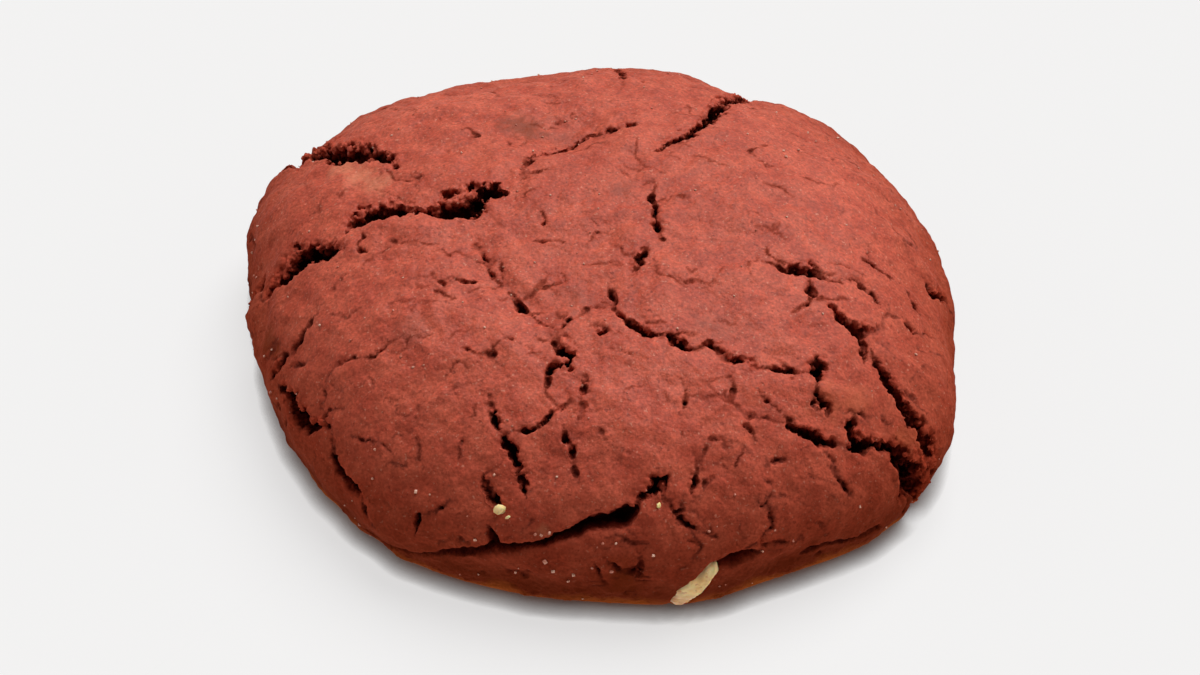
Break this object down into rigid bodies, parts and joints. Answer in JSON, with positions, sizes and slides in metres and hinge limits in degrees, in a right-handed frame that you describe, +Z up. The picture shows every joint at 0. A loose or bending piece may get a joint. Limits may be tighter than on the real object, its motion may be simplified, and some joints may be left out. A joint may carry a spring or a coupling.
{
  "type": "red velvet cookie",
  "caption": "Thick round red velvet cookie with a domed, deeply cracked crust, a spread foot and a white chocolate chunk bedded in its near side; it lies flat.",
  "frame": {"origin": "middle of the flat underside, under the centre of the outline", "axes": "+Z up through the crown, +X to the picture's right along the longest width, -Y towards the viewer"},
  "size_m": [0.0925, 0.0878, 0.0263],
  "materials": {
    "red_velvet_dough": "matt, finely grained baked crust with open crumb in its cracks",
    "white_chocolate": "dull, pale yellow, browned at its lower end"
  },
  "bodies": {
    "root": {"cookie": "red_velvet_dough", "white_chocolate_chunk": "white_chocolate"}
  },
  "joints": []
}
